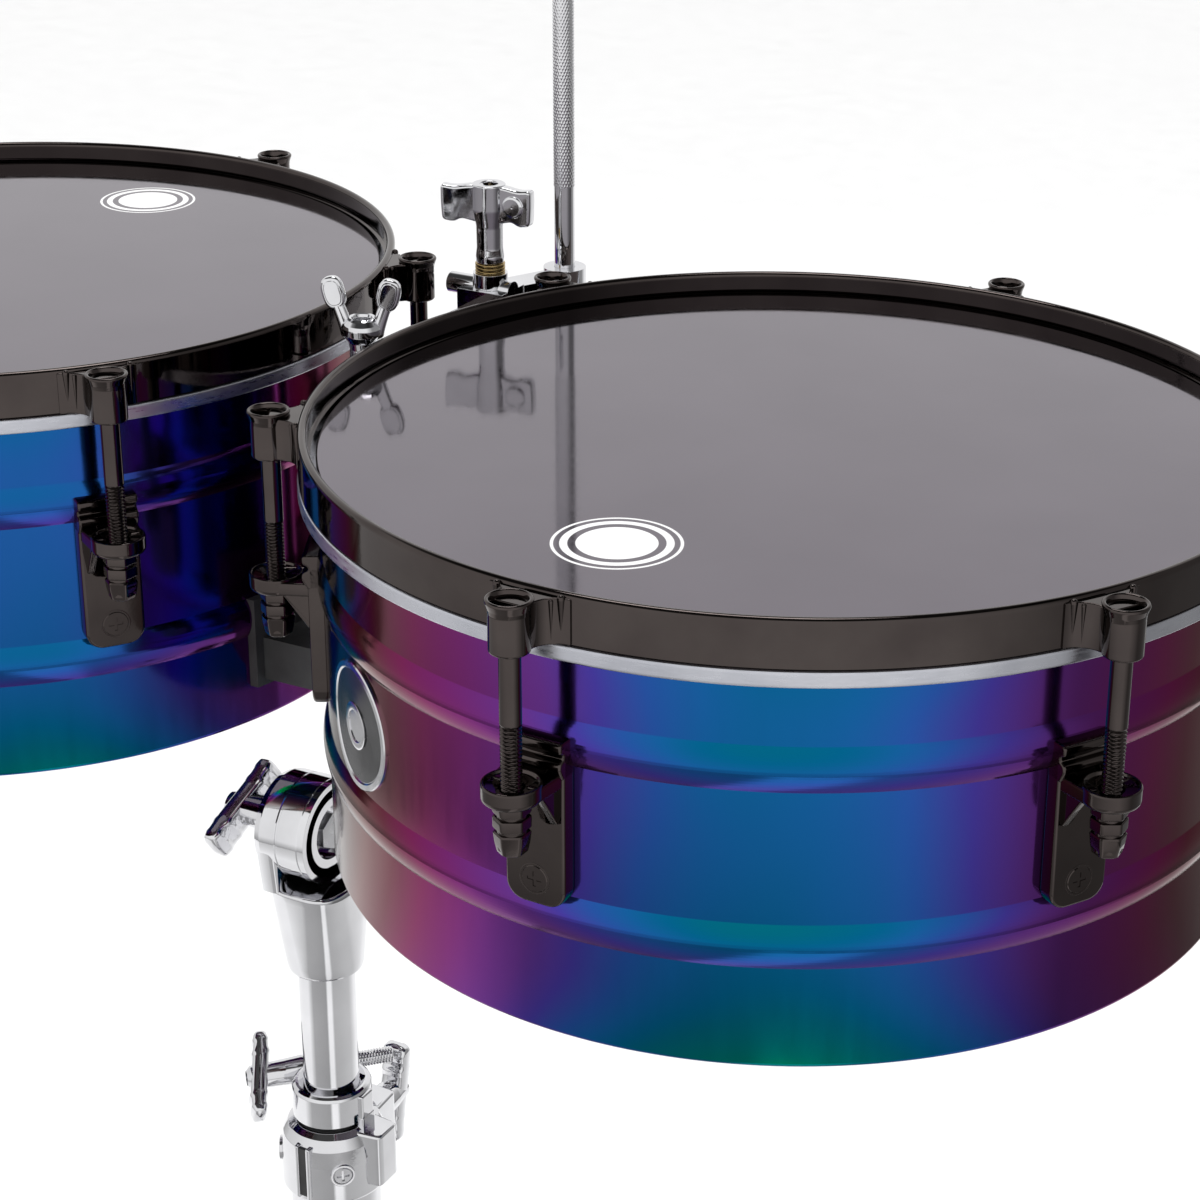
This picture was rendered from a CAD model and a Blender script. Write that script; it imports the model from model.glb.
"""The looks of a pair of steel timbales on a tilting stand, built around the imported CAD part."""
import math

import bmesh
import bpy
from mathutils import Matrix, Vector


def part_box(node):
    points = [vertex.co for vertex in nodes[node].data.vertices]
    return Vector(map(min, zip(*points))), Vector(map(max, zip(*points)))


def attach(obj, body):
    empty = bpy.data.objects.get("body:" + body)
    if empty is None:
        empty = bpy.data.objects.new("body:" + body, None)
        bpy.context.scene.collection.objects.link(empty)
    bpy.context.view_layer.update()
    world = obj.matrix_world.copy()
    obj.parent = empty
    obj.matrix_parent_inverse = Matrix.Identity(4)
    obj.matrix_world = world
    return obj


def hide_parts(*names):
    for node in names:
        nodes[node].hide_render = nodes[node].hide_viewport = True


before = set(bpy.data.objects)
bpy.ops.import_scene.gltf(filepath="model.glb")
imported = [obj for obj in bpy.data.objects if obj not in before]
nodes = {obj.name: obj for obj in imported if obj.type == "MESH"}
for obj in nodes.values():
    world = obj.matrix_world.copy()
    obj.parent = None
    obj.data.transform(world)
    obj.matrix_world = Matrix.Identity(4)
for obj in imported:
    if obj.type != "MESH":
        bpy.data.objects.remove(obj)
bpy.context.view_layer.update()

MM = 0.001
TURN = 2 * math.pi
DRUMS = ("large", "small")
SHELL_WIDER_FILM = 0.9  # the film's wall stands this far outside the shell
CUP_PROUD = 0.5         # the hoop's sockets stand this far above its lip
RODS = 6


# ---- shapes: every shape is (points, faces), in millimetres ----

def arc(cx, cy, radius, start, end, steps=8):
    """Points on an arc about (cx, cy), angles in degrees."""
    angles = [math.radians(start + (end - start) * i / steps) for i in range(steps + 1)]
    return [(cx + radius * math.cos(a), cy + radius * math.sin(a)) for a in angles]


def rounded(corners, radius, steps=4):
    """A closed outline with each corner turned into a small curve."""
    outline = []
    count = len(corners)
    for i in range(count):
        corner = Vector(corners[i])
        before = Vector(corners[i - 1]) - corner
        after = Vector(corners[(i + 1) % count]) - corner
        reach = min(radius, 0.45 * before.length, 0.45 * after.length)
        a = corner + before.normalized() * reach
        b = corner + after.normalized() * reach
        for step in range(steps + 1):
            t = step / steps
            point = a * (1 - t) ** 2 + corner * 2 * t * (1 - t) + b * t * t
            outline.append((point.x, point.y))
    return outline


def oblong(x_low, y_low, x_high, y_high, radius):
    """A rectangle with rounded corners."""
    return rounded([(x_low, y_low), (x_high, y_low), (x_high, y_high), (x_low, y_high)], radius)


def hexagon(radius, bend):
    """Six corners on a circle, each a little rounded."""
    corners = [(radius * math.cos(TURN * i / 6), radius * math.sin(TURN * i / 6)) for i in range(6)]
    return rounded(corners, bend)


def mirrored(outline):
    """The outline on the other side of the X axis, still running counter-clockwise."""
    return [(x, -y) for x, y in reversed(outline)]


def guarded(outline, gap=0.3):
    """The outline with points added near the ends of long runs, so that they shade flat."""
    result = []
    for i, point in enumerate(outline):
        start = Vector(point)
        run = Vector(outline[(i + 1) % len(outline)]) - start
        result.append(tuple(start))
        if run.length > 4 * gap:
            result.append(tuple(start + run.normalized() * gap))
            result.append(tuple(start + run - run.normalized() * gap))
    return result


def lathe(profile, count=96):
    """A closed (radius, z) outline turned about Z."""
    profile = guarded(profile)
    points = []
    faces = []
    size = len(profile)
    for step in range(count):
        angle = TURN * step / count
        points += [(r * math.cos(angle), r * math.sin(angle), z) for r, z in profile]
        for i in range(size):
            j = (i + 1) % size
            k = (step + 1) % count
            faces.append((step * size + i, k * size + i, k * size + j, step * size + j))
    return points, faces


def loft(rings):
    """A skin over rings that all have the same number of points, closed at both ends."""
    size = len(rings[0])
    points = [p for ring in rings for p in ring]
    faces = [tuple(range(size)), tuple(reversed(range(len(points) - size, len(points))))]
    for row in range(len(rings) - 1):
        for i in range(size):
            j = (i + 1) % size
            faces.append((row * size + i, row * size + j, (row + 1) * size + j, (row + 1) * size + i))
    return points, faces


def slab(outline, low, high, edge=0.0, steps=3):
    """An outline raised from low to high, its edges rounded inward by edge."""
    if edge <= 0:
        return loft([[(x, y, z) for x, y in outline] for z in (low, high)])
    rings = []
    bends = [90.0 * i / steps for i in range(steps + 1)]
    for bend in bends:
        inset = edge * (1 - math.sin(math.radians(bend)))
        rings.append((inset, low + edge * (1 - math.cos(math.radians(bend)))))
    for inset, z in reversed(list(rings)):
        rings.append((inset, high - (z - low)))
    return loft([[(x, y, z) for x, y in shrunk(outline, inset)] for inset, z in rings])


def shrunk(outline, inset):
    """The outline moved inward; it is taken as running counter-clockwise."""
    result = []
    count = len(outline)
    for i in range(count):
        before = Vector(outline[i]) - Vector(outline[i - 1])
        after = Vector(outline[(i + 1) % count]) - Vector(outline[i])
        along = before.normalized() + after.normalized()
        if along.length < 1e-6:
            along = after
        along.normalize()
        result.append((outline[i][0] - along.y * inset, outline[i][1] + along.x * inset))
    return result


def rod_shape(radius_at, low, high, rows, count=28):
    """A rod along Z whose radius follows radius_at(z, angle)."""
    rings = []
    for row in range(rows + 1):
        z = low + (high - low) * row / rows
        ring = []
        for i in range(count):
            angle = TURN * i / count
            radius = radius_at(z, angle)
            ring.append((radius * math.cos(angle), radius * math.sin(angle), z))
        rings.append(ring)
    return loft(rings)


def moved(shape, matrix):
    points, faces = shape
    return [tuple(matrix @ Vector(p)) for p in points], faces


def shifted(shape, x=0.0, y=0.0, z=0.0):
    return moved(shape, Matrix.Translation((x, y, z)))


def spun(shape, degrees, axis="Z"):
    return moved(shape, Matrix.Rotation(math.radians(degrees), 4, axis))


# A plan (x, y) seen as (x, z), one seen as (y, z), and an axis along Z laid along +X.
AS_XZ = Matrix(((1, 0, 0, 0), (0, 0, -1, 0), (0, 1, 0, 0), (0, 0, 0, 1)))
AS_YZ = Matrix(((0, 0, 1, 0), (1, 0, 0, 0), (0, 1, 0, 0), (0, 0, 0, 1)))
ALONG_X = Matrix(((0, 0, 1, 0), (0, 1, 0, 0), (-1, 0, 0, 0), (0, 0, 0, 1)))


def mesh_of(name, shapes, crease):
    """One mesh from several shapes, smooth apart from its sharp edges."""
    built = bmesh.new()
    for points, faces in shapes:
        corners = [built.verts.new(Vector(p) * MM) for p in points]
        for face in faces:
            built.faces.new([corners[i] for i in face])
    bmesh.ops.remove_doubles(built, verts=built.verts, dist=2e-6)
    bmesh.ops.recalc_face_normals(built, faces=built.faces)
    for face in built.faces:
        face.smooth = True
    for edge in built.edges:
        if len(edge.link_faces) == 2 and edge.calc_face_angle() > math.radians(crease):
            edge.smooth = False
    mesh = bpy.data.meshes.new(name)
    built.to_mesh(mesh)
    built.free()
    return mesh


def weigh(part):
    """Shades flats as flat beside rounded edges."""
    shade = part.modifiers.new("shade", "WEIGHTED_NORMAL")
    shade.keep_sharp = True


def piece(name, shapes, finish, body, place, node=None, crease=38.0):
    """A new piece riding on its body, in place of a CAD node; shapes may be a mesh made before."""
    mesh = shapes if isinstance(shapes, bpy.types.Mesh) else mesh_of(name, shapes, crease)
    if not mesh.materials:
        mesh.materials.append(finishes[finish])
    made = bpy.data.objects.new(name, mesh)
    bpy.context.scene.collection.objects.link(made)
    made.matrix_world = place
    weigh(made)
    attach(made, body)
    if node:
        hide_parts(node)
    return made


def at(x, y, z, degrees=0.0, axis="Z"):
    """A place in the frame: a point in metres and a turn about an axis."""
    return Matrix.Translation((x, y, z)) @ Matrix.Rotation(math.radians(degrees), 4, axis)


# ---- finishes ----

def linear(red, green, blue):
    """A screen colour, 0 to 255, as the linear colour the shader wants."""
    return tuple(
        c / 12.92 if c <= 0.04045 else ((c + 0.055) / 1.055) ** 2.4
        for c in (red / 255, green / 255, blue / 255)
    ) + (1.0,)


class Finish:
    """A node material with small helpers for wiring it."""

    def __init__(self, name):
        self.material = bpy.data.materials.new(name)
        self.material.use_nodes = True
        self.tree = self.material.node_tree
        self.tree.nodes.clear()
        self.output = self.add("ShaderNodeOutputMaterial")
        self.shader = self.add("ShaderNodeBsdfPrincipled")
        self.link(self.shader.outputs["BSDF"], self.output.inputs["Surface"])
        self.place = self.add("ShaderNodeTexCoord").outputs["Object"]

    def add(self, kind, **settings):
        made = self.tree.nodes.new(kind)
        for key, value in settings.items():
            setattr(made, key, value)
        return made

    def link(self, source, target):
        self.tree.links.new(source, target)

    def math(self, operation, first, second=None):
        made = self.add("ShaderNodeMath", operation=operation)
        for slot, value in enumerate((first, second)):
            if value is not None:
                self.plug(value, made.inputs[slot])
        return made.outputs[0]

    def vector(self, operation, first, second=None, output="Vector"):
        made = self.add("ShaderNodeVectorMath", operation=operation)
        for slot, value in enumerate((first, second)):
            if value is not None:
                self.plug(value, made.inputs[slot])
        return made.outputs[output]

    def noise(self, scale, detail=3.0, stretch=(1.0, 1.0, 1.0)):
        mapping = self.add("ShaderNodeMapping")
        mapping.inputs["Scale"].default_value = stretch
        self.link(self.place, mapping.inputs["Vector"])
        made = self.add("ShaderNodeTexNoise")
        made.inputs["Scale"].default_value = scale
        made.inputs["Detail"].default_value = detail
        self.link(mapping.outputs["Vector"], made.inputs["Vector"])
        return made.outputs["Fac"]

    def spread(self, value, low, high, start=0.3, end=0.7):
        made = self.add("ShaderNodeMapRange")
        self.link(value, made.inputs["Value"])
        ends = {"From Min": start, "From Max": end, "To Min": low, "To Max": high}
        for key, end_value in ends.items():
            made.inputs[key].default_value = end_value
        return made.outputs["Result"]

    def ramp(self, value, stops):
        made = self.add("ShaderNodeValToRGB")
        bands = made.color_ramp
        while len(bands.elements) < len(stops):
            bands.elements.new(0.5)
        for element, (position, colour) in zip(bands.elements, sorted(stops)):
            element.position = position
            element.color = colour
        self.link(value, made.inputs["Fac"])
        return made.outputs["Color"]

    def mix(self, amount, first, second):
        made = self.add("ShaderNodeMix", data_type="RGBA")
        self.plug(amount, made.inputs[0])
        self.plug(first, made.inputs[6])
        self.plug(second, made.inputs[7])
        return made.outputs[2]

    def plug(self, value, target):
        if isinstance(value, bpy.types.NodeSocket):
            self.link(value, target)
        else:
            target.default_value = value

    def bump(self, height, depth, strength=1.0):
        made = self.add("ShaderNodeBump")
        made.inputs["Distance"].default_value = depth
        made.inputs["Strength"].default_value = strength
        self.link(height, made.inputs["Height"])
        self.link(made.outputs["Normal"], self.shader.inputs["Normal"])

    def set(self, **values):
        for key, value in values.items():
            self.plug(value, self.shader.inputs[key.replace("_", " ")])
        return self.material


def metal(name, colour, darker, rough_low, rough_high, grain=900.0, depth=0.00001, stretch=(1, 1, 1)):
    """A metal with uneven polish, faint smudges of tarnish and a fine grain."""
    finish = Finish(name)
    smudge = finish.noise(38.0, 5.0)
    polish = finish.noise(140.0, 4.0, stretch)
    finish.bump(finish.noise(grain, 3.0, stretch), depth, 0.5)
    return finish.set(
        Metallic=1.0,
        Base_Color=finish.mix(finish.spread(smudge, 0.0, 1.0), darker + (1,), colour + (1,)),
        Roughness=finish.spread(polish, rough_low, rough_high),
    )


def dull(name, colour, lighter, rough_low, rough_high, grain, depth):
    """A plastic, enamel or rubber with a grain, slightly worn."""
    finish = Finish(name)
    worn = finish.spread(finish.noise(60.0, 5.0), 0.0, 1.0, 0.35, 0.8)
    finish.bump(finish.noise(grain, 4.0), depth, 0.6)
    return finish.set(
        Base_Color=finish.mix(worn, colour + (1,), lighter + (1,)),
        Roughness=finish.spread(finish.noise(90.0, 4.0), rough_low, rough_high),
    )


# The shell's tint by how squarely it is seen: edge-on at 0, face-on at 1.
TINTS = (
    (0.10, (45, 45, 30)), (0.30, (72, 46, 38)), (0.39, (112, 72, 70)), (0.48, (104, 40, 58)),
    (0.56, (122, 34, 86)), (0.64, (118, 40, 110)), (0.75, (102, 52, 138)), (0.805, (72, 60, 160)),
    (0.845, (40, 84, 164)), (0.87, (22, 95, 158)), (0.89, (4, 99, 142)), (0.905, (3, 104, 128)),
    (0.94, (0, 120, 112)), (0.965, (0, 150, 72)),
)
TINT_MIDDLE = 85.0  # below the hoop's lip, where the tint is least green
TINT_REACH = 95.0
TINT_SWING = 0.06
EDGE_ON = 0.103     # the tint's place on the scale where the wall is seen edge-on
SQUARE_ON = 0.883   # and where it faces the viewer
RELIEF_SHARE = 0.2  # how much of a bead's slope reaches the tint


def tinted_shell(name, shift):
    """Polished steel with a thin tint that turns with the angle of view."""
    finish = Finish(name)
    seen = finish.add("ShaderNodeNewGeometry")
    parts = finish.add("ShaderNodeSeparateXYZ")
    finish.link(finish.place, parts.inputs[0])
    outward = finish.add("ShaderNodeCombineXYZ")
    finish.link(parts.outputs["X"], outward.inputs["X"])
    finish.link(parts.outputs["Y"], outward.inputs["Y"])
    outward = finish.vector("NORMALIZE", outward.outputs[0])
    own = {"convert_from": "WORLD", "convert_to": "OBJECT"}
    looking = finish.add("ShaderNodeVectorTransform", vector_type="VECTOR", **own)
    finish.link(seen.outputs["Incoming"], looking.inputs[0])
    surface = finish.add("ShaderNodeVectorTransform", vector_type="NORMAL", **own)
    finish.link(seen.outputs["Normal"], surface.inputs[0])
    level = finish.vector("NORMALIZE", finish.vector("MULTIPLY", looking.outputs[0], (1.0, 1.0, 0.0)))
    wall_facing = finish.math("ABSOLUTE", finish.vector("DOT_PRODUCT", outward, level, "Value"))
    straight = finish.vector("DOT_PRODUCT", surface.outputs[0], looking.outputs[0], "Value")
    true_facing = finish.math("ABSOLUTE", straight)
    plain_facing = finish.math("ABSOLUTE", finish.vector("DOT_PRODUCT", outward, looking.outputs[0], "Value"))
    relief = finish.math("MULTIPLY", finish.math("SUBTRACT", true_facing, plain_facing), RELIEF_SHARE)
    facing = finish.math("MULTIPLY", wall_facing, SQUARE_ON - EDGE_ON)
    facing = finish.math("ADD", finish.math("ADD", facing, EDGE_ON + shift), relief)
    depth = finish.math("ADD", finish.math("MULTIPLY", parts.outputs["Z"], 1 / MM), TINT_MIDDLE)
    away = finish.math("DIVIDE", finish.math("ABSOLUTE", depth), TINT_REACH)
    swing = finish.math("MULTIPLY", finish.math("POWER", away, 4.0), TINT_SWING)
    cloud = finish.spread(finish.noise(9.0, 2.0), -0.012, 0.012)
    phase = finish.math("ADD", finish.math("ADD", facing, swing), cloud)
    tint = finish.ramp(phase, [(p, linear(*c)) for p, c in TINTS])
    finish.bump(finish.noise(30.0, 2.0), 0.00002, 0.4)
    return finish.set(
        Metallic=1.0,
        Base_Color=tint,
        Roughness=finish.spread(finish.noise(120.0, 5.0, (1, 1, 0.15)), 0.09, 0.16),
    )


def ring_mask(finish, distance, inner, outer, soft=0.00015):
    """1 between two radii, 0 elsewhere, with a soft edge."""
    rise = finish.spread(distance, 0.0, 1.0, inner - soft, inner + soft)
    fall = finish.spread(distance, 1.0, 0.0, outer - soft, outer + soft)
    return finish.math("MULTIPLY", rise, fall)


def head_film(name, mark, mark_r):
    """Smoky glossy film with a plain printed disc and rings at mark."""
    finish = Finish(name)
    away = finish.vector("DISTANCE", finish.place, mark, "Value")
    disc = ring_mask(finish, away, -1.0, mark_r * 0.62)
    band = ring_mask(finish, away, mark_r * 0.74, mark_r * 0.86)
    line = ring_mask(finish, away, mark_r * 0.95, mark_r)
    print_here = finish.math("ADD", finish.math("ADD", disc, band), line)
    cloud = finish.spread(finish.noise(14.0, 3.0), 0, 1)
    smoke = finish.mix(cloud, (0.160, 0.142, 0.166, 1), (0.176, 0.156, 0.182, 1))
    scuff = finish.spread(finish.noise(210.0, 6.0), 0.045, 0.085)
    finish.bump(finish.noise(60.0, 3.0), 0.000004, 0.4)
    return finish.set(
        Metallic=finish.math("SUBTRACT", 1.0, print_here),
        Base_Color=finish.mix(print_here, smoke, (0.86, 0.86, 0.86, 1)),
        Roughness=finish.math("ADD", scuff, finish.math("MULTIPLY", print_here, 0.35)),
    )


METALS = {
    # colour, darker patches, smoothest and roughest polish, then the grain's scale, depth and stretch
    "chrome": ((0.80, 0.80, 0.82), (0.70, 0.70, 0.72), 0.03, 0.09),
    "zinc": ((0.60, 0.60, 0.62), (0.46, 0.46, 0.47), 0.22, 0.36, 500.0, 0.00003),
    "brass": ((0.62, 0.47, 0.22), (0.42, 0.30, 0.13), 0.18, 0.34, 600.0, 0.00002),
    "black_nickel": ((0.080, 0.067, 0.063), (0.062, 0.051, 0.049), 0.03, 0.08),
    "head_ring": ((0.62, 0.63, 0.68), (0.50, 0.51, 0.56), 0.24, 0.40, 420.0, 0.00004, (1, 1, 6)),
    "badge": ((0.74, 0.74, 0.76), (0.62, 0.62, 0.64), 0.10, 0.20, 700.0, 0.00002),
}
DULLS = {
    # colour, worn patches, smoothest and roughest, then the grain's scale and depth
    "badge_enamel": ((0.012, 0.012, 0.014), (0.03, 0.03, 0.033), 0.15, 0.28, 300.0, 0.00001),
    "black_block": ((0.012, 0.012, 0.013), (0.035, 0.035, 0.037), 0.38, 0.58, 1400.0, 0.00008),
    "bushing": ((0.014, 0.014, 0.015), (0.035, 0.035, 0.036), 0.40, 0.60, 900.0, 0.00005),
    "rubber": ((0.014, 0.014, 0.014), (0.05, 0.05, 0.048), 0.60, 0.85, 1100.0, 0.0001),
}
finishes = {name: metal(name, *values) for name, values in METALS.items()}
finishes.update({name: dull(name, *values) for name, values in DULLS.items()})


# ---- measures of the frame ----

def centre(node):
    low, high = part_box(node)
    return (low + high) / 2


def size(node):
    low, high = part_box(node)
    return (high - low) / MM


class Drum:
    """What the frame says about one drum; lengths in millimetres, middle in metres."""

    def __init__(self, name):
        low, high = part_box(name + "_head_film")
        self.name = name
        self.hoop_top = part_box(name + "_hoop")[1].z - CUP_PROUD * MM
        self.middle = Vector(((low.x + high.x) / 2, (low.y + high.y) / 2, self.hoop_top))
        self.radius = (high.x - low.x) / 2 / MM - SHELL_WIDER_FILM
        self.film_top = high.z
        self.hoop_height = (self.hoop_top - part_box(name + "_hoop")[0].z) / MM - 0.1
        self.rods = []
        for i in range(RODS):
            away = centre(f"{name}_rod_{i + 1}") - self.middle
            self.rods.append(math.degrees(math.atan2(away.y, away.x)))
            self.rod_circle = math.hypot(away.x, away.y) / MM
        self.rod_low = (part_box(name + "_rod_1")[0].z - self.hoop_top) / MM
        self.rod_high = (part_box(name + "_rod_1")[1].z - self.hoop_top) / MM

    def on_hoop(self, bearing):
        """A place at the hoop's top, turned so that +X points outward at a bearing."""
        return at(*self.middle, bearing)


drums = {name: Drum(name) for name in DRUMS}

# The smaller shell's tint lies a little lower on the scale.
TINT_SHIFT = {"large": 0.0, "small": -0.018}

# Printed marks: how far out on the head, at which bearing, and how big.
MARKS = {"large": (0.687, -95.0, 24.5), "small": (0.692, 91.5, 23.0)}

for name, drum in drums.items():
    share, bearing, mark_r = MARKS[name]
    turn = math.radians(bearing)
    reach = share * drum.radius * MM
    mark = (reach * math.cos(turn), reach * math.sin(turn), drum.film_top - drum.hoop_top)
    finishes[name + "_film"] = head_film(name + "_film", mark, mark_r * MM)
    finishes[name + "_shell_tint"] = tinted_shell(name + "_shell_tint", TINT_SHIFT[name])


# ---- the CAD nodes that stay ----

def dress(node, finish, width=0.4):
    """Gives a CAD node its finish and rounds its sharp edges a little."""
    part = nodes[node]
    part.data.materials.clear()
    part.data.materials.append(finishes[finish])
    weld = part.modifiers.new("weld", "WELD")
    weld.merge_threshold = 2e-6
    flat = part.modifiers.new("flat", "DECIMATE")
    flat.decimate_type = "DISSOLVE"
    flat.angle_limit = math.radians(0.8)
    if width > 0:
        edge = part.modifiers.new("edge", "BEVEL")
        edge.width = width * MM
        edge.segments = 2
        edge.limit_method = "ANGLE"
        edge.angle_limit = math.radians(32.0)
        edge.harden_normals = True
    weigh(part)
    for face in part.data.polygons:
        face.use_smooth = True


CAD_SLOTS = {node: part.data.materials[0].name for node, part in nodes.items() if part.data.materials}
for node in nodes:
    slot = CAD_SLOTS.get(node, "chrome").split(".")[0]
    drum_name = node.split("_")[0]
    if slot == "shell":
        dress(node, drum_name + "_shell_tint", 0.0)
    elif slot == "head_film":
        dress(node, drum_name + "_film", 0.1)
    else:
        dress(node, slot if slot in finishes else "chrome")


# ---- drums ----

RIM_R = 1.5
SHELL_T = 1.5
BEADS = (61.0, 132.0)   # heights of the two beads below the hoop's lip
BEAD_HALF = 9.0
BEAD_OUT = 2.5
FILM_T = 0.3
RING_OUT = 8.5
RING_H = 6.3
HOOP_OUT = 8.0
HOOP_T = 4.0
HOOP_STEP = 1.0
CUP_R = 7.5
CUP_BORE = 5.8
CUP_FLOOR = -13.0
CUP_END = -19.5
WEB_FLARE = 10.0
WEB_WAIST = CUP_R - 1.0
ROUND_STEPS = 240


def shell_outline(drum):
    """Section of a shell: rolled edges and two beads pressed out of the wall."""
    low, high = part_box(drum.name + "_shell")
    top = (high.z - drum.hoop_top) / MM - RIM_R
    bottom = (low.z - drum.hoop_top) / MM + RIM_R
    r = drum.radius
    bulge = (BEAD_HALF ** 2 + BEAD_OUT ** 2) / (2 * BEAD_OUT)
    sweep = math.degrees(math.asin(BEAD_HALF / bulge))
    outline = arc(r - RIM_R, top, RIM_R, 180, 0)
    for depth in BEADS:
        outline += arc(r + BEAD_OUT - bulge, -depth, bulge, sweep, -sweep, 14)
    outline += arc(r - RIM_R, bottom, RIM_R, 0, -180)
    outline.append((r - SHELL_T, bottom + RIM_R))
    for depth in reversed(BEADS):
        outline += arc(r + BEAD_OUT - bulge, -depth, bulge - SHELL_T, -sweep, sweep, 14)
    outline.append((r - SHELL_T, top - RIM_R))
    return outline


def film_outline(drum):
    top = (drum.film_top - drum.hoop_top) / MM
    wall = drum.radius + SHELL_WIDER_FILM
    low = -drum.hoop_height - RING_H + 1
    outside = [(0, top)] + arc(wall - 0.8, top - 0.8, 0.8, 90, 0, 5) + [(wall, low)]
    inside = [(wall - FILM_T, low), (wall - FILM_T, top - 1.0), (wall - 1.0, top - FILM_T), (0, top - FILM_T)]
    return outside + inside


def ring_outline(drum):
    inner = drum.radius + SHELL_WIDER_FILM
    outer = drum.radius + RING_OUT
    high = -drum.hoop_height
    low = high - RING_H
    return oblong(inner, low, outer, high, 1.0)


def hoop_outline(drum):
    """Section of the hoop: folded lip, two bands inside and a step to the film."""
    outer = drum.radius + HOOP_OUT
    inner = outer - HOOP_T
    lip = HOOP_T / 2
    low = -drum.hoop_height
    half = low / 2
    outline = arc(outer - lip, -lip, lip, 0, 180, 12)
    outline += [(inner, half + 1.6), (inner + 0.7, half + 0.9), (inner + 0.7, half)]
    step = inner - HOOP_STEP
    outline += [(step, half - 0.8), (step, low), (outer - 0.8, low), (outer, low + 0.8)]
    return outline


def cup_shapes(drum):
    """A socket for a rod's head on its waisted web, at the rod circle along +X."""
    r = drum.radius
    hoop = r + HOOP_OUT
    bore = [(4.3, CUP_FLOOR), (CUP_BORE, CUP_FLOOR), (CUP_BORE, -4.0), (CUP_BORE + 0.7, -1.0)]
    lip = arc(CUP_R + 0.25, CUP_PROUD - 0.9, 0.9, 165, -20, 7) + [(CUP_R + 0.25, -3.2), (CUP_R, -5.0)]
    foot = arc(CUP_R - 0.8, CUP_END + 0.8, 0.8, 0, -90, 4)
    cup = shifted(lathe(bore + lip + foot + [(4.3, CUP_END)], 48), drum.rod_circle)
    half = WEB_WAIST + WEB_FLARE
    sides = arc(hoop + WEB_FLARE, -half, WEB_FLARE, 180, 90, 10)
    plan = [(hoop - 1, -half)] + sides + [(drum.rod_circle, -WEB_WAIST)]
    web = slab(plan + mirrored(plan), -drum.hoop_height + 0.3, -1.6, 0.7)
    ribs = []
    for side in (-1, 1):
        rib = lathe([(0, -drum.hoop_height + 1)] + arc(0, -1.9, 1.5, 0, 90, 5), 20)
        ribs.append(shifted(rib, hoop + 0.2, side * 13.0))
        post = lathe([(0, -drum.hoop_height + 2)] + arc(0, -2.8, 0.9, 0, 90, 4), 16)
        ribs.append(shifted(post, hoop + 2.4, side * 10.3))
    return [cup, web] + ribs


KEY = 6.35
ROD_R = 4.0
PITCH = 1.5
THREAD_CUT = 0.8
THREAD_TOP = -48.0


def thread(z, angle):
    """Radius of the rod's thread."""
    wave = 0.5 + 0.5 * math.cos(TURN * z / PITCH + angle)
    return ROD_R - THREAD_CUT * wave


def rod_mesh(drum):
    """Square key head, flange, plain shank and threaded tail; the axis is Z."""
    head = drum.rod_high
    seat = CUP_FLOOR + 1.0
    square = oblong(-KEY / 2, -KEY / 2, KEY / 2, KEY / 2, 0.6)
    flange = oblong(0, seat, 5.2, seat + 2, 0.5)
    shank = [(0, THREAD_TOP), (ROD_R - 0.5, THREAD_TOP), (ROD_R, THREAD_TOP + 0.8), (ROD_R, seat), (0, seat)]
    turns = (THREAD_TOP - drum.rod_low) / PITCH
    return mesh_of(
        "rod",
        [
            slab(square, seat + 1, head, 0.5),
            lathe(flange, 40),
            lathe(shank, 40),
            rod_shape(thread, drum.rod_low, THREAD_TOP + 0.3, round(turns * 6), 20),
        ],
        60.0,
    )


TONGUE_TOP = -70.0
TONGUE_T = 7.0
TONGUE_HALF = 11.0
LUG_TOP = -58.0
LUG_LOW = -126.0
LUG_HALF = 12.5
LUG_T = 6.5
SCREW_Z = -115.5


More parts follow.
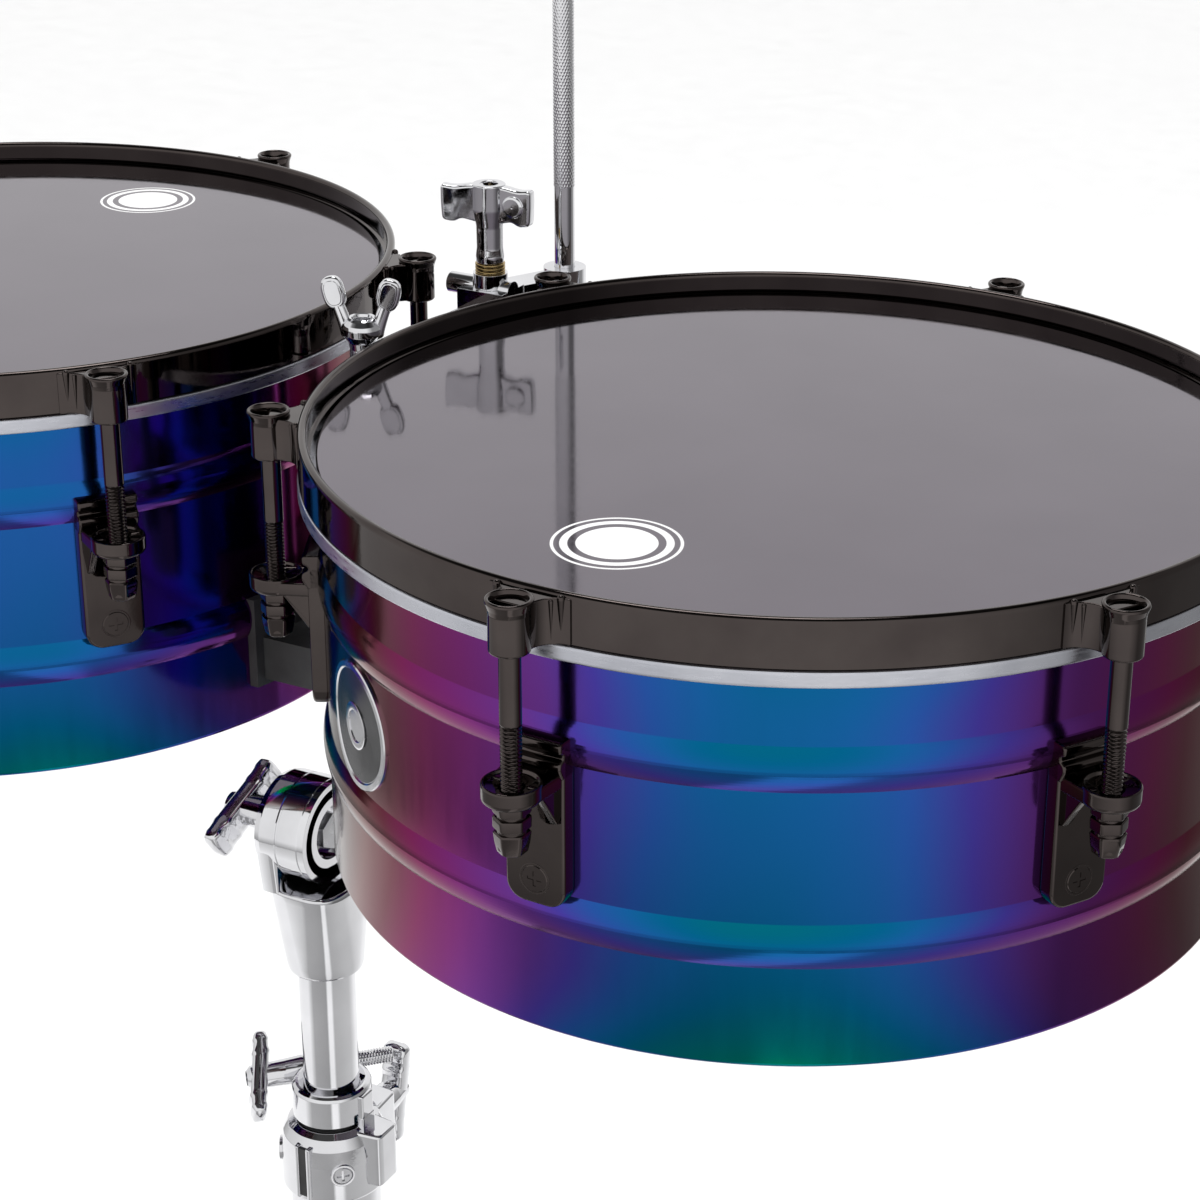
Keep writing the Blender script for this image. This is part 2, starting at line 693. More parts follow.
def lug_shapes(drum):
    """A cast lug: plate, folded top, dished tongue round the rod, and two gussets."""
    r = drum.radius
    face = r + LUG_T
    inside = r - 0.8
    corner = LUG_HALF - 7.5
    plate = [(-LUG_HALF, LUG_TOP - 6)] + arc(-corner, LUG_LOW + 7.5, 7.5, 180, 270, 8)
    plate += arc(corner, LUG_LOW + 7.5, 7.5, 270, 360, 8) + [(LUG_HALF, LUG_TOP - 6)]
    shapes = [moved(slab(plate, inside, face, 1.3), AS_YZ)]
    fold = [
        (inside, TONGUE_TOP - 3), (face, TONGUE_TOP - 3), (face + 2.4, TONGUE_TOP + 1.5),
        (face + 2.2, TONGUE_TOP + 4), (face - 0.4, TONGUE_TOP + 5.5), (face - 0.2, TONGUE_TOP + 7),
        (face + 2.0, TONGUE_TOP + 8.2),
        (face + 2.0, LUG_TOP - 0.8), (face + 0.6, LUG_TOP), (inside, LUG_TOP),
    ]
    shapes.append(moved(slab(rounded(fold, 1.0), -LUG_HALF, LUG_HALF, 1.0), AS_XZ))
    low = TONGUE_TOP - TONGUE_T
    dish = [(4.9, low), (4.9, TONGUE_TOP - 1.8), (6.2, TONGUE_TOP - 1.5), (9.2, TONGUE_TOP - 0.9)]
    dish += arc(TONGUE_HALF - 0.7, TONGUE_TOP - 0.4, 0.7, 140, 0, 5)
    dish += arc(TONGUE_HALF - 2.0, low + 2.0, 2.0, 0, -90, 5)
    shapes.append(shifted(lathe(dish, 64), drum.rod_circle))
    for side in (-1, 1):
        far = drum.rod_circle - 1.0
        wing = [(inside + 4, 5.2), (far, 5.2), (far, 10.6), (inside + 4, 12.0)]
        neck = rounded(wing, 0.8)
        if side < 0:
            neck = mirrored(neck)
        shapes.append(slab(neck, low + 0.6, TONGUE_TOP - 0.7, 0.9))
        gusset = [(face - 2, low + 1), (face - 2, low - 14), (face + 0.4, low - 14), (r + 17, low + 1)]
        gusset = moved(slab(rounded(gusset, 1.0), -1.6, 1.6, 0.6), AS_XZ)
        shapes.append(shifted(gusset, 0, side * 8.6))
    tip = drum.rod_circle - 6.5
    floor_part = [(face - 2, -4.5), (tip, -4.5), (tip, 4.5), (face - 2, 4.5)]
    shapes.append(slab(floor_part, low + 0.8, TONGUE_TOP - 2.4, 0.5))
    return shapes


def cross_radius(angle, reach, half):
    """Outline of a cross-head recess, as a radius at an angle."""
    c = max(abs(math.cos(angle)), 1e-6)
    s = max(abs(math.sin(angle)), 1e-6)
    return max(min(reach / c, half / s), min(half / c, reach / s))


def cross_head(radius, low, high, recess, reach, half, count=48):
    """A screw head along Z with a chamfered rim and a cross-shaped recess."""
    angles = [TURN * (i + 0.5) / count for i in range(count)]

    def ring(at_radius, z):
        return [(at_radius * math.cos(a), at_radius * math.sin(a), z) for a in angles]

    def cross(scale, z):
        radii = [scale * cross_radius(a, reach, half) for a in angles]
        return [(r * math.cos(a), r * math.sin(a), z) for r, a in zip(radii, angles)]

    rings = [ring(radius, low), ring(radius, high - 0.4), ring(radius - 0.4, high), cross(1.0, high)]
    return loft(rings + [cross(0.75, high - recess)])


def lug_screw_shapes(drum):
    """The lug's screw, its head in the lug's face, its washer and nut inside the shell."""
    face = drum.radius + LUG_T
    seat = drum.radius - SHELL_T - 0.15
    shapes = [
        cross_head(5.5, face - 2.5, face + 0.25, 1.5, 3.0, 0.65),
        lathe(oblong(5.75, face - 1, 6.3, face + 0.12, 0.1), 48),
        lathe(oblong(2.4, seat - 1.2, 7, seat, 0.3), 48),
        slab(hexagon(4.9, 0.5), seat - 5.2, seat - 1.2, 0.5),
        lathe(oblong(0, seat - 6.5, 2.5, seat, 0.4), 32),
    ]
    return [shifted(moved(shape, ALONG_X), z=SCREW_Z) for shape in shapes]


def nut_shapes():
    """Long hexagon nut under a lug's tongue: three bands, the last one drawn in."""
    top = TONGUE_TOP - TONGUE_T - 0.05
    bend = 1.1
    band = 4.8
    step = 5.9
    shapes = [slab(hexagon(7.2, bend), top - i * step - band, top - i * step, 0.7) for i in range(2)]
    low = top - 20.6
    tail = []
    for radius, z in ((4.9, low), (5.9, low + 0.8), (6.7, low + 4.5), (7.1, low + 8.0), (6.6, low + 8.6)):
        tail.append([(x, y, z) for x, y in hexagon(radius, bend)])
    shapes.append(loft(tail))
    shapes.append(lathe([(4.2, low + 2), (5.6, low + 2), (5.6, top - 0.4), (4.2, top - 0.4)], 32))
    return shapes


def washer_shape():
    return lathe(oblong(4.3, CUP_FLOOR, 5.6, CUP_FLOOR + 0.95, 0.2), 40)


def around_drum(drum, shapes):
    """The same shapes at every rod of a drum."""
    return [spun(shape, bearing) for bearing in drum.rods for shape in shapes]


for name, drum in drums.items():
    place = Matrix.Translation(drum.middle)
    round_parts = (
        ("shell", shell_outline(drum), name + "_shell_tint"),
        ("head_film", film_outline(drum), name + "_film"),
        ("head_ring", ring_outline(drum), "head_ring"),
    )
    for part, outline, finish in round_parts:
        node = f"{name}_{part}"
        piece(node + "_look", [lathe(outline, ROUND_STEPS)], finish, "head", place, node, 20.0)
    hoop = [lathe(hoop_outline(drum), ROUND_STEPS)] + around_drum(drum, cup_shapes(drum))
    piece(name + "_hoop_look", hoop, "black_nickel", "head", place, name + "_hoop")
    outer = Matrix.Translation((drum.rod_circle, 0, 0))
    fittings = (
        ("lugs", lug_shapes(drum), "black_nickel"),
        ("lug_screws", lug_screw_shapes(drum), "black_nickel"),
        ("rod_nuts", [moved(shape, outer) for shape in nut_shapes()], "black_nickel"),
        ("rod_washers", [moved(washer_shape(), outer)], "brass"),
    )
    for part, shapes, finish in fittings:
        node = f"{name}_{part}"
        piece(node + "_look", around_drum(drum, shapes), finish, "head", place, node)
    rod = rod_mesh(drum)
    for i, bearing in enumerate(drum.rods):
        node = f"{name}_rod_{i + 1}"
        axis = drum.on_hoop(bearing) @ Matrix.Translation((drum.rod_circle * MM, 0, 0))
        piece(node + "_look", rod, "black_nickel", node, axis, node)


# ---- badge: a plain ringed plate bent to the shell ----

def bent_disc(rings, radius, count=72):
    """A round relief wrapped on a cylinder of the given radius; rings are (reach, height)."""
    rows = []
    for reach, height in rings:
        row = []
        for i in range(count):
            angle = TURN * i / count
            turn = reach * math.cos(angle) / radius
            out = radius + height
            row.append((out * math.cos(turn), out * math.sin(turn), reach * math.sin(angle)))
        rows.append(row)
    return loft(rows)


badge_middle = centre("large_badge")
badge_r = size("large_badge").z / 2
away = badge_middle - drums["large"].middle
badge_turn = math.degrees(math.atan2(away.y, away.x))
badge_place = at(drums["large"].middle.x, drums["large"].middle.y, badge_middle.z, badge_turn)
rim_rings = [
    (badge_r, -0.6), (badge_r, 0.9), (badge_r - 0.5, 1.35), (badge_r - 2.6, 1.35), (badge_r - 3.2, 0.8),
    (badge_r - 3.6, 0.8), (0.4, 0.8),
]
badge_shape = bent_disc(rim_rings, drums["large"].radius)
piece("badge_plate", [badge_shape], "badge", "head", badge_place, "large_badge", 30.0)
enamel_rings = [(badge_r - 3.5, 0.7), (badge_r - 3.5, 0.95), (0.4, 0.95)]
piece("badge_field", [bent_disc(enamel_rings, drums["large"].radius)], "badge_enamel", "head", badge_place)
emblem_rings = [(9.5, 0.9), (9.5, 1.3), (9.1, 1.45), (6.9, 1.45), (6.5, 1.3), (6.5, 0.97), (0.4, 0.97)]
piece("badge_emblem", [bent_disc(emblem_rings, drums["large"].radius)], "badge", "head", badge_place)

# ---- chrome hardware ----

def ellipse(a, b, count=32, power=2.0):
    """An oval outline; a higher power squares it off."""
    outline = []
    for i in range(count):
        c = math.cos(TURN * i / count)
        s = math.sin(TURN * i / count)
        x = a * math.copysign(abs(c) ** (2 / power), c)
        y = b * math.copysign(abs(s) ** (2 / power), s)
        outline.append((x, y))
    return outline


def below(node):
    """The foot of a node's axis, in metres."""
    low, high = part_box(node)
    return Vector(((low.x + high.x) / 2, (low.y + high.y) / 2, low.z))


# Cowbell post: plain below, fine diamond knurl above, domed top.
KNURL_START = 97.0
KNURLS = 22
KNURL_STEP = 3.0
KNURL_CUT = 0.42
post_foot = below("bell_post")
post_size = size("bell_post")
post_r = post_size.x / 2


def knurl(z, angle):
    a = math.cos(KNURLS * angle / 2 + math.pi * z / KNURL_STEP)
    b = math.cos(KNURLS * angle / 2 - math.pi * z / KNURL_STEP)
    return post_r - KNURL_CUT * (1 - abs(a * b))


post_low = [(0, 0), (post_r - 0.9, 0), (post_r - 0.2, 0.7), (post_r - 0.2, KNURL_START), (0, KNURL_START)]
post_top = arc(0, post_size.z - post_r, post_r, 35, 90, 5)
post_cap = [(0, post_size.z - 2.2), (post_r - 0.3, post_size.z - 2.2)] + post_top
knurl_rows = round((post_size.z - 2 - KNURL_START) / KNURL_STEP * 6)
piece(
    "cowbell_post",
    [
        lathe(post_low, 40),
        rod_shape(knurl, KNURL_START - 0.3, post_size.z - 2.0, knurl_rows, 88),
        lathe(post_cap, 40),
    ],
    "chrome", "bell_post", Matrix.Translation(post_foot), "bell_post", 70.0,
)

# Classic wing nut.
EAR_TURN = 20.0
EAR_LEAN = 14.0
wing_foot = below("stud_wing_nut")
boss_h = 22.0
boss = [
    (4.1, 0.3), (5.0, 0), (5.8, 0.5), (5.6, 8), (6.2, 11), (8.6, 14.5), (9.0, 17.5), (8.4, 19.2), (6.8, 21.2),
    (5.6, boss_h), (4.6, boss_h - 0.3), (4.1, boss_h - 1.5),
]
wing_shapes = [lathe(boss, 64)]
ear = ellipse(5.0, 7.2, 40, 2.7)
ear_pad = ellipse(3.6, 5.6, 40, 2.7)
for side in (-1, 1):
    plate = slab(ear, -2.1, 2.1, 1.3)
    pad = slab(ear_pad, -2.45, 2.45, 0.5)
    for shape in (plate, pad):
        leaned = spun(moved(shape, AS_XZ), side * EAR_LEAN, "Y")
        wing_shapes.append(shifted(leaned, side * 12.0, 0, boss_h + 10.5))
    neck = []
    for t in range(9):
        share = t / 8
        x = side * (5.6 + 5.2 * share ** 1.2)
        z = 12.5 + 16 * share
        half_w = 3.7 - 0.3 * share
        half_t = 3.0 - 1.0 * share
        neck.append([(x + px, py, z + 0.35 * side * px) for px, py in ellipse(half_w, half_t, 24, 2.4)])
    wing_shapes.append(loft(neck))
piece(
    "classic_wing_nut", wing_shapes, "chrome", "stud_wing_nut", at(*wing_foot, EAR_TURN), "stud_wing_nut",
)

# T nut of the cowbell clamp: post, two swept wings and a plain round boss on one of them.
TEE_TURN = 12.0
tee_foot = below("bell_tee_nut")
tee_h = size("bell_tee_nut").z
tee_rim = [(4.1, 0), (6.4, 0), (6.6, 3), (6.1, 7)]
tee_body = tee_rim + [(6.2, tee_h - 20), (7.6, tee_h - 12), (7.6, tee_h), (4.1, tee_h), (4.1, 3)]
tee_shapes = [lathe(rounded(tee_body, 0.6), 64)]
wing_side = [
    (2, tee_h - 19), (12.5, tee_h - 16.5), (16, tee_h - 18.5), (21.5, tee_h - 17.5), (22, tee_h - 9),
    (22, tee_h - 0.5), (16, tee_h - 1.5), (8, tee_h - 0.4), (2, tee_h - 0.4),
]
for side in (0, 180):
    wing = moved(slab(rounded(wing_side, 2.2), -2.9, 2.9, 1.4), AS_XZ)
    tee_shapes.append(spun(spun(wing, -9 if side == 0 else 9), side))
boss_side = [(0, 0), (5.2, 0), (5.2, 1.0), (4.2, 1.5), (0, 1.5)]
disc = moved(lathe(rounded(boss_side, 0.4), 40), AS_XZ)
tee_shapes.append(spun(shifted(disc, 13.5, -2.6, tee_h - 9), -9))
piece(
    "tee_nut", tee_shapes, "chrome", "bell_tee_nut",
    at(*tee_foot, TEE_TURN), "bell_tee_nut",
)

# The bolt under the T nut with a stack of three washers.
stud_foot = below("bell_stud")
stud_h = size("bell_stud").z
stack_low = (tee_foot.z - stud_foot.z) / MM - 4.85
stud_shapes = [
    slab(hexagon(7.4, 0.6), 0, 6, 0.7),
    lathe([(0, 1), (3.95, 1), (3.95, stud_h - 0.8), (3.2, stud_h), (0, stud_h)], 40),
]
for i in range(3):
    low = stack_low + i * 1.62
    stud_shapes.append(lathe(oblong(3.9, low, 6.9, low + 1.45, 0.5), 48))
piece("cowbell_bolt", stud_shapes, "brass", "head", Matrix.Translation(stud_foot), "bell_stud")


# ---- tilter ----

tilt_axis = centre("tilter_bolt")
column = Vector((centre("upper_tube").x, centre("upper_tube").y, 0))
CHEEK_R = 24.0
cheek_low = (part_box("lower_tilter")[0].x - column.x) / MM
bolt_high = (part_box("tilter_bolt")[1].x - column.x) / MM
SEAM = -8.0
tilt_place = Matrix.Translation((column.x, tilt_axis.y, tilt_axis.z))
socket_low = (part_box("lower_tilter")[0].z - tilt_axis.z) / MM


def on_x(outline, count=96):
    """An outline of (radius, distance along X) turned about X."""
    return moved(lathe(outline, count), ALONG_X)


# Lower half: round cheek, tapering back and a smooth cup on the tube.
lower_cheek = [
    (5.1, cheek_low), (CHEEK_R - 4, cheek_low), (CHEEK_R - 1.2, cheek_low + 1.4), (CHEEK_R, cheek_low + 4.5),
    (CHEEK_R, SEAM - 0.6), (CHEEK_R - 0.6, SEAM), (5.1, SEAM),
]
TAPER_TOP = -4.0
CASTING_HALF = 23.6
SOCKET_HALF = 17.4
SOCKET_LOW_X = -17.2


def taper(z):
    """How far down the straight taper from the cheek to the tube a height is, from 0 to 1."""
    return min(1.0, max(0.0, (TAPER_TOP - z) / (TAPER_TOP - socket_low - 2.5)))


def tapered_row(z, high_x, squareness, inset=0.0):
    """Height, low x, high x, half width and squareness of the casting at a height."""
    low_x = cheek_low + (SOCKET_LOW_X - cheek_low) * taper(z)
    half = CASTING_HALF + (SOCKET_HALF - CASTING_HALF) * taper(z)
    return (z, low_x + inset, high_x - inset, half - inset, squareness)


lower_rows = [tapered_row(z, SEAM - 0.1, 4.6) for z in (-2.0, -8.0, -14.0, -20.0, -26.0)]
CUP_STEPS = 14
shoulder = -CHEEK_R - 2.6
cup_rows = []
for step in range(CUP_STEPS + 1):
    share = step / CUP_STEPS
    z = shoulder + (socket_low + 2.5 - shoulder) * share
    cup_rows.append(tapered_row(z, 17.5 - 0.4 * share, 3.2 - 1.1 * share))
cup_rows.append((socket_low + 0.9, -16.9, 16.9, 16.9, 2.0))
cup_rows.append((socket_low, -15.6, 15.6, 15.6, 2.0))


def stack(rows, count=72):
    """A skin over level ovals given as (z, low x, high x, half width, squareness)."""
    rings = []
    for z, low_x, high_x, half, power in rows:
        middle = (low_x + high_x) / 2
        rings.append([(x + middle, y, z) for x, y in ellipse((high_x - low_x) / 2, half, count, power)])
    return loft(rings)


top_rows = [
    tapered_row(shoulder + 1.6, 17.5, 3.2, 1.6),
    tapered_row(shoulder + 1.1, 17.5, 3.2, 0.6),
]
lower_shapes = [
    on_x(lower_cheek),
    stack(lower_rows),
    stack(top_rows + cup_rows),
]
piece("tilter_lower_half", lower_shapes, "chrome", "column", tilt_place, "lower_tilter")

# Upper half: round cheek with a recessed face; its arm runs back under the block.
# Its look stands a hair outside the casting.
UPPER_R = CHEEK_R + 0.15
upper_cheek = [
    (5.1, SEAM + 0.3), (UPPER_R - 0.8, SEAM + 0.3), (UPPER_R, SEAM + 1.1), (UPPER_R, bolt_high - 3.6),
    (UPPER_R - 0.9, bolt_high - 1.2), (UPPER_R - 3, bolt_high), (17.0, bolt_high), (15.2, bolt_high - 1.2),
    (13.0, bolt_high - 5), (5.1, bolt_high - 5.5),
]
piece("tilter_upper_face", [on_x(upper_cheek)], "chrome", "head", tilt_place)


GRIP_START = 0.42  # where a lever's ribbed ends and its rounded tips begin, as a share of its half
TIP_START = 0.86
RIBS = 4
RIB_H = 0.55


def lever(length, waist, swell, thick, bend, rows=48):
    """A cast lever along Y: waisted middle, fuller ends with grip ribs, the two ends bent opposite ways."""
    rings = []
    for row in range(rows + 1):
        y = -length / 2 + length * row / rows
        share = abs(y) / (length / 2)
        end = max(0.0, (share - GRIP_START) / (1 - GRIP_START))
        tip = max(0.0, (share - TIP_START) / (1 - TIP_START))
        round_off = math.sqrt(max(0.0, 1 - tip ** 2.4)) * 0.72 + 0.28
        rib = RIB_H * max(0.0, math.sin(end * RIBS * math.pi)) * (1 if end > 0.05 else 0)
        half_w = (waist + (swell - waist) * min(1.0, end * 1.6)) * round_off
        half_t = (thick * (1.0 - 0.25 * end) + rib) * round_off
        drift = bend * math.sin(math.pi * y / length)
        rings.append([(px + drift, y, pz) for px, pz in ellipse(half_t, half_w, 24, 3.4)])
    return loft(rings)


# Wing on the tilter's bolt.
WING_STAND = 36.0
wing_boss = [
    (5.1, cheek_low - 0.4), (8.6, cheek_low - 0.4), (9.0, cheek_low - 1.0), (8.2, cheek_low - 8),
    (7.6, cheek_low - 18), (6.2, cheek_low - 27), (5.1, cheek_low - 27),
]
tilter_lever = shifted(lever(47.0, 8.4, 9.2, 4.8, 3.6), cheek_low - 20.5)
piece(
    "tilter_lever", [on_x(wing_boss, 48), spun(tilter_lever, WING_STAND, "X")], "chrome", "tilter_wing",
    tilt_place, "tilter_wing",
)


# ---- column ----

def tube_piece(name, node, body, wall):
    """A tube with softly broken ends."""
    low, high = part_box(node)
    length = (high.z - low.z) / MM
    r = (high.x - low.x) / 2 / MM
    section = oblong(r - wall, 0, r, length, 0.5)
    place = Matrix.Translation((column.x, column.y, low.z))
    piece(name, [lathe(section, 96)], "chrome", body, place, node)
    return r


tube_r = tube_piece("upper_column", "upper_tube", "column", 1.6)
lower_r = tube_piece("lower_column", "lower_tube", "stand", 1.6)

# Memory lock: split ring with a dished top, two ears behind, a block and a tooth at the right.
lock_low, lock_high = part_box("memory_lock")
TOOTH = 6.0
lock_base = lock_low.z + TOOTH * MM
lock_h = (lock_high.z - lock_base) / MM
lock_place = Matrix.Translation((column.x, column.y, lock_base))
lock_r = tube_r + 5.5
LOCK_TURN = 45.0    # the ears stand this far round the tube from straight behind
ear_y = 24.0
ear_bolt_z = lock_h / 2
ring = [
    (tube_r + 0.1, 0), (lock_r - 0.8, 0), (lock_r, 0.8), (lock_r, lock_h - 2.2), (lock_r - 0.5, lock_h - 1),
    (lock_r - 1.7, lock_h), (tube_r + 2.6, lock_h), (tube_r + 0.1, lock_h - 2.6),
]
ear_side = [(9, 0), (ear_y + 6, 1.5), (ear_y + 8, lock_h / 2), (ear_y + 6, lock_h - 1.5), (9, lock_h)]
lock_shapes = [lathe(ring, 96)]
for side in (-1, 1):
    near, far = (1.3, 8.0) if side > 0 else (-8.0, -1.3)
    ear = moved(slab(rounded(ear_side, 2.5), near, far, 0.9), AS_YZ)
    lock_shapes.append(spun(ear, LOCK_TURN))
tooth_plan = [(lock_r - 5, -5.5), (lock_r + 1.5, -4.5), (lock_r + 1.5, 4.5), (lock_r - 5, 5.5)]
lock_shapes.append(slab(rounded(tooth_plan, 1.0), 0.5, lock_h - 2.5, 0.9))
lock_shapes.append(slab(oblong(lock_r - 3.8, -4.8, lock_r + 1.8, 4.8, 0.8), -TOOTH, 3, 0.6))
piece("memory_ring", lock_shapes, "chrome", "column", lock_place, "memory_lock")

lock_turned = Matrix.Rotation(math.radians(LOCK_TURN), 4, "Z")
memory_axis = lock_place @ lock_turned @ Matrix.Translation((0, ear_y * MM, ear_bolt_z * MM))


def bolt_thread(z, angle):
    """A fine thread on the memory lock's bolt."""
    return 4.0 - 0.5 * (0.5 + 0.5 * math.cos(TURN * z / 1.4 + angle))


memory_shapes = [
    on_x([(0, -30), (3.6, -30), (3.6, 33.2), (3.0, 34), (0, 34)], 32),
    on_x([(3.5, -8.2), (6.6, -8.4), (6.8, -9.4), (6.2, -18), (5.6, -34), (3.5, -36), (3.5, -30)], 40),
    spun(shifted(lever(42.0, 7.0, 7.6, 4.2, 3.0), -30.0), WING_STAND, "X"),
    moved(rod_shape(bolt_thread, 9, 33.4, 90, 20), ALONG_X),
]
piece("memory_lever", memory_shapes, "chrome", "memory_wing_bolt", memory_axis, "memory_wing_bolt", 45.0)

# Height clamp: a bell-shaped casting with a boss behind and a tall lug at the right.
clamp_low, clamp_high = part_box("height_clamp")
clamp_h = (clamp_high.z - clamp_low.z) / MM
clamp_place = Matrix.Translation((column.x, column.y, clamp_low.z))
clamp_r = lower_r + 3.5
bell = [
    (lower_r + 0.05, 0), (clamp_r - 0.6, 0), (clamp_r, 1.2), (clamp_r + 0.2, clamp_h * 0.55),
    (clamp_r - 1.0, clamp_h * 0.80), (clamp_r - 3.4, clamp_h * 0.94), (clamp_r - 6.4, clamp_h),
    (tube_r + 4.2, clamp_h), (tube_r + 4.0, clamp_h - 7), (lower_r + 0.05, clamp_h - 7),
]
boss_plan = [(-12, 12), (12, 12), (10.5, clamp_r + 13), (-10.5, clamp_r + 13)]
lug_plan = [(14, -9), (clamp_r + 6, -7), (clamp_r + 6, 8), (14, 10)]
clamp_shapes = [
    lathe(bell, 96),
    slab(rounded(boss_plan, 3.0), 3, clamp_h - 7, 1.6),
    slab(rounded(lug_plan, 3.0), 6, clamp_h - 1, 1.6),
]
SLOT_BEARING = -92.0
slot_lips = [(clamp_r - 3.0, -4.8), (clamp_r + 1.0, -4.2), (clamp_r + 1.0, -2.0), (clamp_r - 3.0, -2.0)]
for side in (-1, 1):
    lip = rounded(slot_lips, 0.8)
    if side > 0:
        lip = mirrored(lip)
    clamp_shapes.append(spun(slab(lip, 1.5, clamp_h - 5, 0.8), SLOT_BEARING))
piece("height_casting", clamp_shapes, "chrome", "stand", clamp_place, "height_clamp")
slot_shadow = slab(oblong(clamp_r - 2, -2.1, clamp_r + 0.3, 2.1, 0.2), 3, clamp_h - 6)
piece("clamp_slot_liner", [spun(slot_shadow, SLOT_BEARING)], "bushing", "stand", clamp_place)
clamp_screw = cross_head(4.4, clamp_r - 1.0, clamp_r + 0.9, 1.4, 2.9, 0.6)
CLAMP_SCREW_BEARINGS = (-47, -150)
CLAMP_SCREW_Z = 16
for number, bearing in enumerate(CLAMP_SCREW_BEARINGS):
    seated = shifted(moved(clamp_screw, ALONG_X), z=CLAMP_SCREW_Z)
    collar = moved(lathe(oblong(4.5, clamp_r - 3, 5.8, clamp_r + 1.0, 0.4), 40), ALONG_X)
    head = spun(seated, bearing)
    piece(f"clamp_screw_{number + 1}", [head], "zinc", "stand", clamp_place, "clamp_screws")
    seat = spun(shifted(collar, z=CLAMP_SCREW_Z), bearing)
    piece(f"clamp_screw_seat_{number + 1}", [seat], "chrome", "stand", clamp_place)


def wing_handle(name, node, body, axis_turn, reach, stand):
    """A ribbed lever on a bolt that points outward from the column; reach is where the lever sits."""
    low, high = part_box(node)
    middle_z = (low.z + high.z) / 2
    direction = Matrix.Rotation(math.radians(axis_turn), 4, "Z")
    place = Matrix.Translation((column.x, column.y, middle_z)) @ direction
    hub = [
        (4.5, reach - 11), (7.4, reach - 11), (8.0, reach - 10), (7.4, reach - 2), (6.0, reach + 7.5),
        (4.5, reach + 8),
    ]
    shapes = [
        on_x([(0, lower_r + 0.4), (4.9, lower_r + 0.4), (4.9, reach), (0, reach)], 40),
        on_x(hub, 48),
        spun(shifted(lever(50.0, 6.4, 6.6, 4.6, 4.0), reach + 2.5), stand, "X"),
    ]
    piece(name, shapes, "chrome", body, place, node)


wing_handle("height_lever", "height_wing_bolt", "height_wing_bolt", 90.0, clamp_r + 24, 90.0)
wing_handle("collar_lever", "collar_wing_bolt", "collar_wing_bolt", -60.0, lower_r + 31, 70.0)


# ---- camera, floor and light ----

scene = bpy.context.scene
scene.view_settings.view_transform = "Standard"
scene.cycles.use_denoising = True

# The camera stands at the player's right, above the drums.
large = drums["large"]
CAMERA_FROM_HEAD = Vector((0.42885, -0.9403, 0.3784))
CAMERA_YAW = 23.96
CAMERA_DOWN = 22.495
CAMERA_ROLL = 1.87
yaw = math.radians(CAMERA_YAW)
down = math.radians(CAMERA_DOWN)
roll = math.radians(CAMERA_ROLL)
forward = Vector((-math.sin(yaw) * math.cos(down), math.cos(yaw) * math.cos(down), -math.sin(down)))
level = Vector((math.cos(yaw), math.sin(yaw), 0))
upward = level.cross(forward)
across = level * math.cos(roll) + upward * math.sin(roll)
above = upward * math.cos(roll) - level * math.sin(roll)
lens = bpy.data.cameras.new("camera")
lens.sensor_width = 36.0
lens.lens = 81.9
lens.shift_x = -0.182
lens.shift_y = -0.058
lens.clip_start = 0.02
camera = bpy.data.objects.new("camera", lens)
stand_at = large.middle + CAMERA_FROM_HEAD
looking = Matrix((across, above, -forward)).transposed().to_4x4()
camera.matrix_world = Matrix.Translation(stand_at) @ looking
scene.collection.objects.link(camera)
scene.camera = camera


def stage_mesh(name, points, faces, material):
    mesh = bpy.data.meshes.new(name)
    mesh.from_pydata(points, [], faces)
    mesh.materials.append(material)
    made = bpy.data.objects.new(name, mesh)
    scene.collection.objects.link(made)
    return made


def grey(value):
    return (value, value, value, 1)


def bearing_ramp(finish, stops):
    """A grey that changes with the bearing of a point in the room."""
    where = finish.add("ShaderNodeNewGeometry")
    spot = finish.add("ShaderNodeSeparateXYZ")
    finish.link(where.outputs["Position"], spot.inputs[0])
    around = finish.math("DIVIDE", finish.math("ARCTAN2", spot.outputs["Y"], spot.outputs["X"]), TURN)
    tone = finish.ramp(finish.math("ADD", around, 0.5), [(0.5 + b / 360, grey(v)) for b, v in stops])
    return tone, spot.outputs["Z"]


# Reflections see the floor as a studio's grey one, streaked by the panels around it.
pale = Finish("pale_floor")
streaks = bearing_ramp(
    pale,
    (
        (-180, 0.90), (-140, 0.90), (-118, 0.38), (-62, 0.32), (-56, 0.92), (-42, 0.92), (-34, 0.45),
        (40, 0.55), (75, 0.90), (180, 0.90),
    ),
)[0]
pale_tone = pale.mix(pale.noise(3.0, 2.0), grey(0.90), grey(0.92))
reflected = pale.add("ShaderNodeLightPath").outputs["Is Glossy Ray"]
pale_material = pale.set(
    Base_Color=pale.mix(reflected, pale_tone, streaks),
    Roughness=pale.spread(pale.noise(20.0, 3.0), 0.7, 0.9),
)
FLOOR_HALF = 30.0
stage_mesh(
    "floor",
    [(x * FLOOR_HALF, y * FLOOR_HALF, 0) for x, y in ((-1, -1), (1, -1), (1, 1), (-1, 1))],
    [(0, 1, 2, 3)],
    pale_material,
)

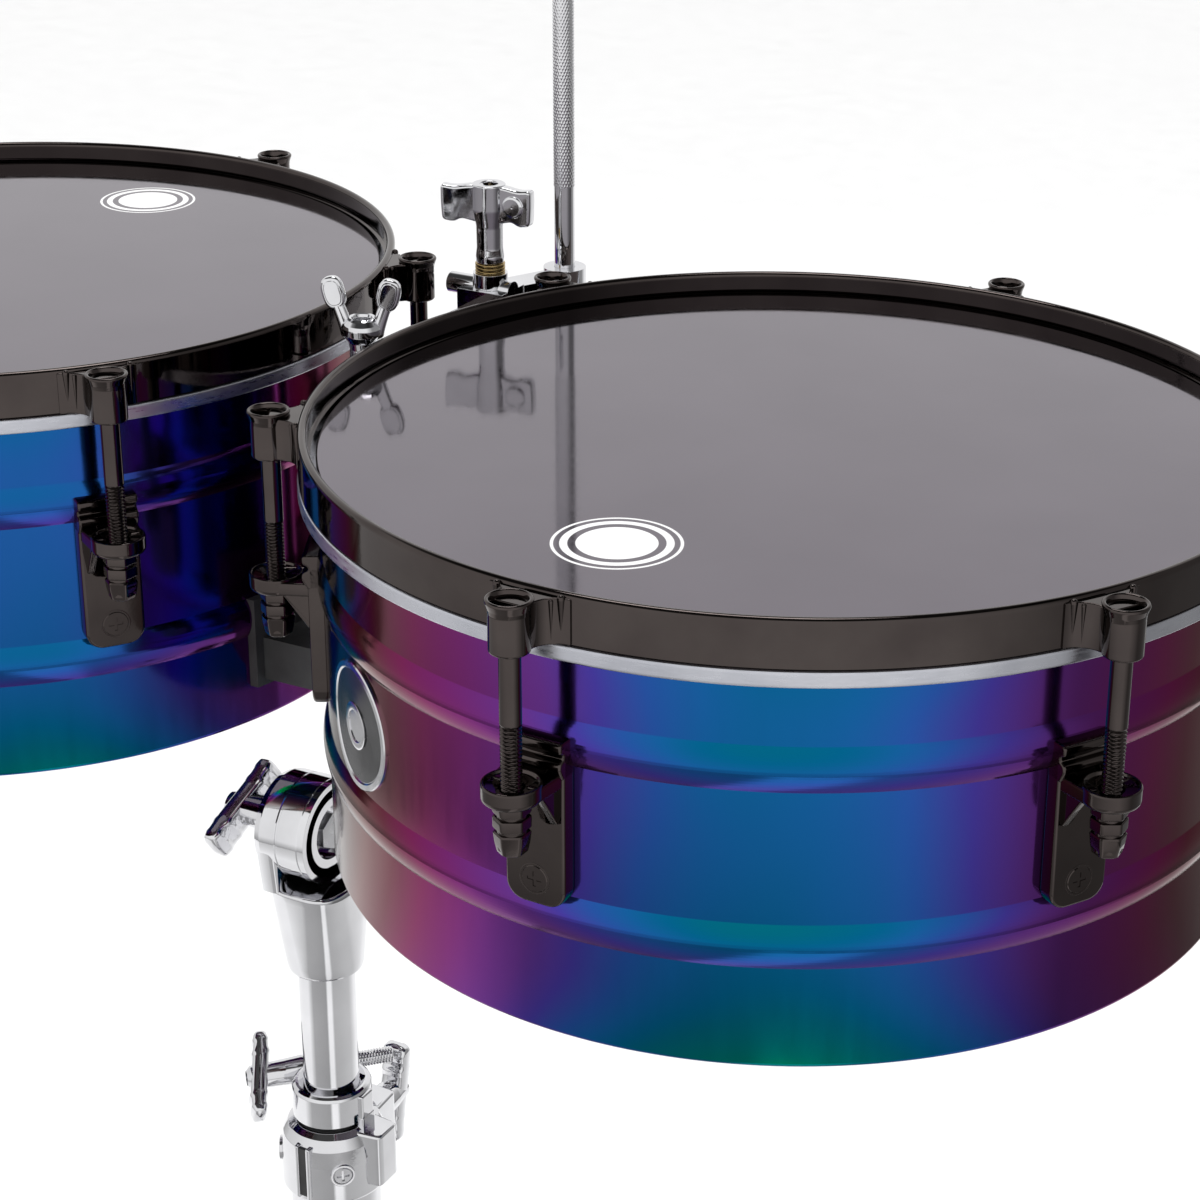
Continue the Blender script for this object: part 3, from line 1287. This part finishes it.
world = bpy.data.worlds.new("studio")
scene.world = world
world.use_nodes = True
sky = world.node_tree.nodes["Background"]
sky.inputs["Color"].default_value = (1.0, 1.0, 1.0, 1)
path = world.node_tree.nodes.new("ShaderNodeLightPath")
glow = world.node_tree.nodes.new("ShaderNodeMapRange")
glow.inputs["To Min"].default_value = 1.12
glow.inputs["To Max"].default_value = 0.06
world.node_tree.links.new(path.outputs["Is Glossy Ray"], glow.inputs["Value"])
world.node_tree.links.new(glow.outputs["Result"], sky.inputs["Strength"])

# A ring of studio panels that only reflections see: bright in front, dim at the player's right.
WALL_R = 1.25
WALL_H = 3.0
WALL_STEPS = 128
wall_finish = Finish("panels")
by_bearing, height = bearing_ramp(
    wall_finish,
    (
        (-180, 0.80), (-130, 0.95), (-108, 1.0), (-32, 1.0), (-12, 0.62), (2, 0.30), (50, 0.30),
        (72, 1.0), (144, 1.0), (180, 0.80),
    ),
)
by_height = wall_finish.ramp(
    wall_finish.math("DIVIDE", height, WALL_H),
    [(0.0, grey(0.40)), (0.10, grey(0.95)), (0.62, grey(1.0)), (0.70, grey(0.25)), (0.85, grey(0.05))],
)
shine = wall_finish.add("ShaderNodeEmission")
wall_finish.link(wall_finish.vector("MULTIPLY", by_bearing, by_height), shine.inputs["Color"])
wall_finish.link(shine.outputs[0], wall_finish.output.inputs["Surface"])
wall_points = []
wall_faces = []
for step in range(WALL_STEPS):
    angle = TURN * step / WALL_STEPS
    wall_points += [(WALL_R * math.cos(angle), WALL_R * math.sin(angle), z) for z in (0.0, WALL_H)]
    after = (step + 1) % WALL_STEPS
    wall_faces.append((2 * step, 2 * after, 2 * after + 1, 2 * step + 1))
wall = stage_mesh("panels", wall_points, wall_faces, wall_finish.material)
for ray in ("camera", "diffuse", "transmission", "volume_scatter", "shadow"):
    setattr(wall, "visible_" + ray, False)

soft = bpy.data.lights.new("soft_box", "AREA")
soft.shape = "RECTANGLE"
soft.size = 1.1
soft.size_y = 0.7
soft.energy = 14.0
soft_box = bpy.data.objects.new("soft_box", soft)
soft_box.matrix_world = at(-0.3, 0.5, 2.9, 0)
scene.collection.objects.link(soft_box)
